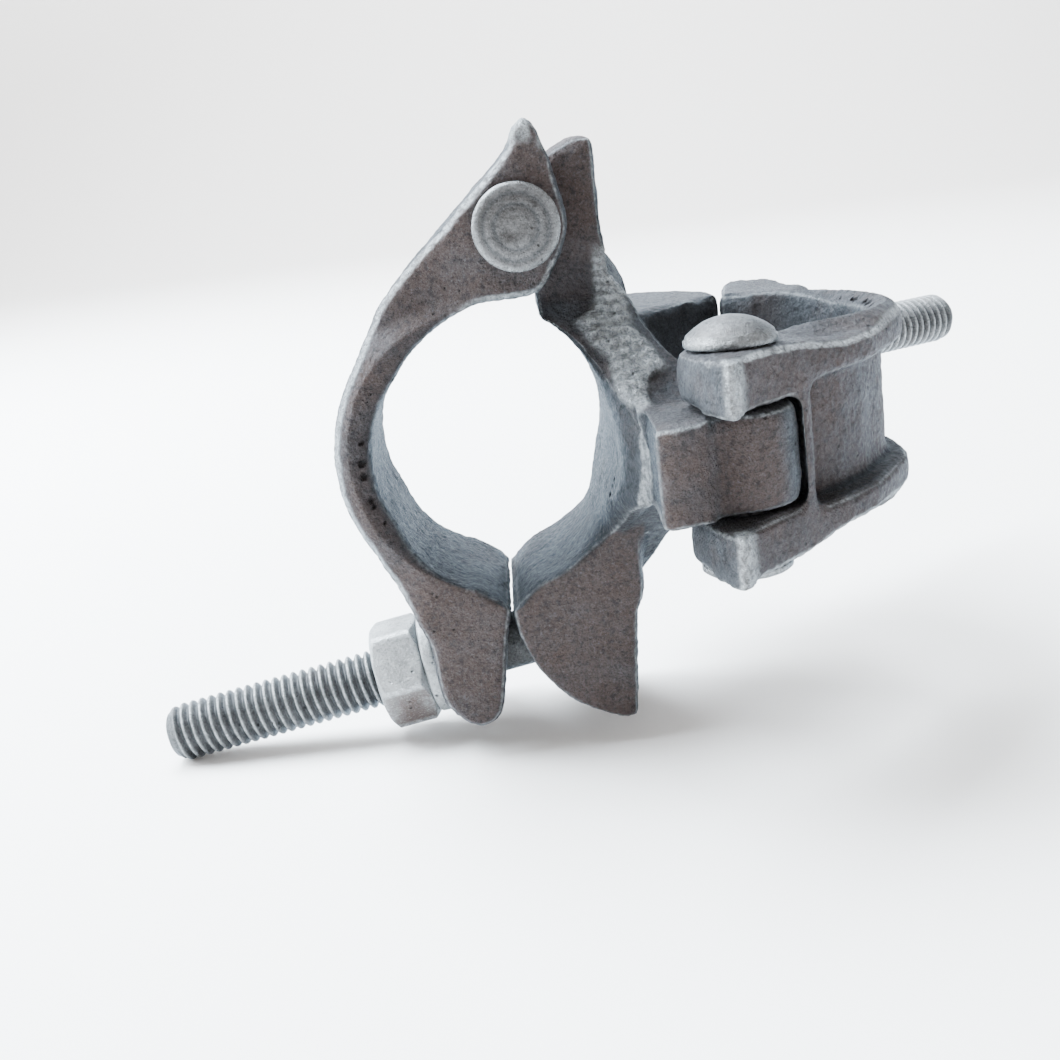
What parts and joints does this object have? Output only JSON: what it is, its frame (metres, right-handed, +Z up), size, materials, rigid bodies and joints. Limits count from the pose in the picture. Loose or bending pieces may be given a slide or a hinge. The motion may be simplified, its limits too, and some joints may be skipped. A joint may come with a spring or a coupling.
{
  "type": "scaffold coupler clamp",
  "caption": "Drop-forged right-angle coupler that clamps two scaffold tubes at 90 degrees: hinged caps, T-bolts, hex nuts and rivets on one body.",
  "frame": {"origin": "on tube A's axis, in the middle of its seat", "axes": "+X from tube A's axis to tube B's, +Y along tube A, away from the viewer, +Z up along tube B, towards hinge A"},
  "size_m": [0.204, 0.156, 0.1272],
  "materials": {
    "forged_zinc": "hot-dip galvanised drop forging, matte and speckled",
    "rivet_zinc": "hot-dip galvanised, smooth hammered head",
    "bolt_zinc": "hot-dip galvanised rolled thread",
    "nut_zinc": "hot-dip galvanised hexagon, light grey"
  },
  "bodies": {
    "body": {"body": "forged_zinc"},
    "cap_a": {"cap_a": "forged_zinc", "hinge_rivet_a": "rivet_zinc"},
    "cap_b": {"cap_b": "forged_zinc", "hinge_rivet_b": "rivet_zinc"},
    "bolt_a": {"t_bolt_a": "bolt_zinc"},
    "bolt_b": {"t_bolt_b": "bolt_zinc"},
    "collar_a": {"collar_a": "nut_zinc"},
    "collar_b": {"collar_b": "nut_zinc"},
    "nut_a": {"nut_a": "nut_zinc"},
    "nut_b": {"nut_b": "nut_zinc"}
  },
  "joints": [
    {"name": "cap_a_hinge", "type": "hinge", "parent": "body", "child": "cap_a", "pos_m": [0.0095, 0, 0.0433], "axis": [0, 1, 0], "range_deg": [0, 28]},
    {"name": "bolt_a_swing", "type": "hinge", "parent": "body", "child": "bolt_a", "pos_m": [0.0155, 0, -0.043], "axis": [0, -1, 0], "range_deg": [0, 90]},
    {"name": "nut_a_run", "type": "slide", "parent": "bolt_a", "child": "collar_a", "axis": [-0.9869, 0, -0.1616], "range_m": [0, 0.0461]},
    {"name": "nut_a_turn", "type": "hinge", "parent": "collar_a", "child": "nut_a", "pos_m": [-0.02565, 0, -0.04974], "axis": [-0.9869, 0, -0.1616], "continuous": true},
    {"name": "cap_b_hinge", "type": "hinge", "parent": "body", "child": "cap_b", "pos_m": [0.0445, -0.0433, 0], "axis": [0, 0, -1], "range_deg": [0, 85]},
    {"name": "bolt_b_swing", "type": "hinge", "parent": "body", "child": "bolt_b", "pos_m": [0.0385, 0.043, 0], "axis": [0, 0, 1], "range_deg": [-19.4, 70.6]},
    {"name": "nut_b_run", "type": "slide", "parent": "bolt_b", "child": "collar_b", "axis": [0.8771, 0.4802, 0], "range_m": [-0.0106, 0.0354]},
    {"name": "nut_b_turn", "type": "hinge", "parent": "collar_b", "child": "nut_b", "pos_m": [0.08438, 0.06812, 0], "axis": [0.8771, 0.4802, 0], "continuous": true}
  ],
  "couplings": [
    {"joint": "nut_a_run", "follows": "cap_a_hinge", "m_per_rad": 0.094129}
  ]
}
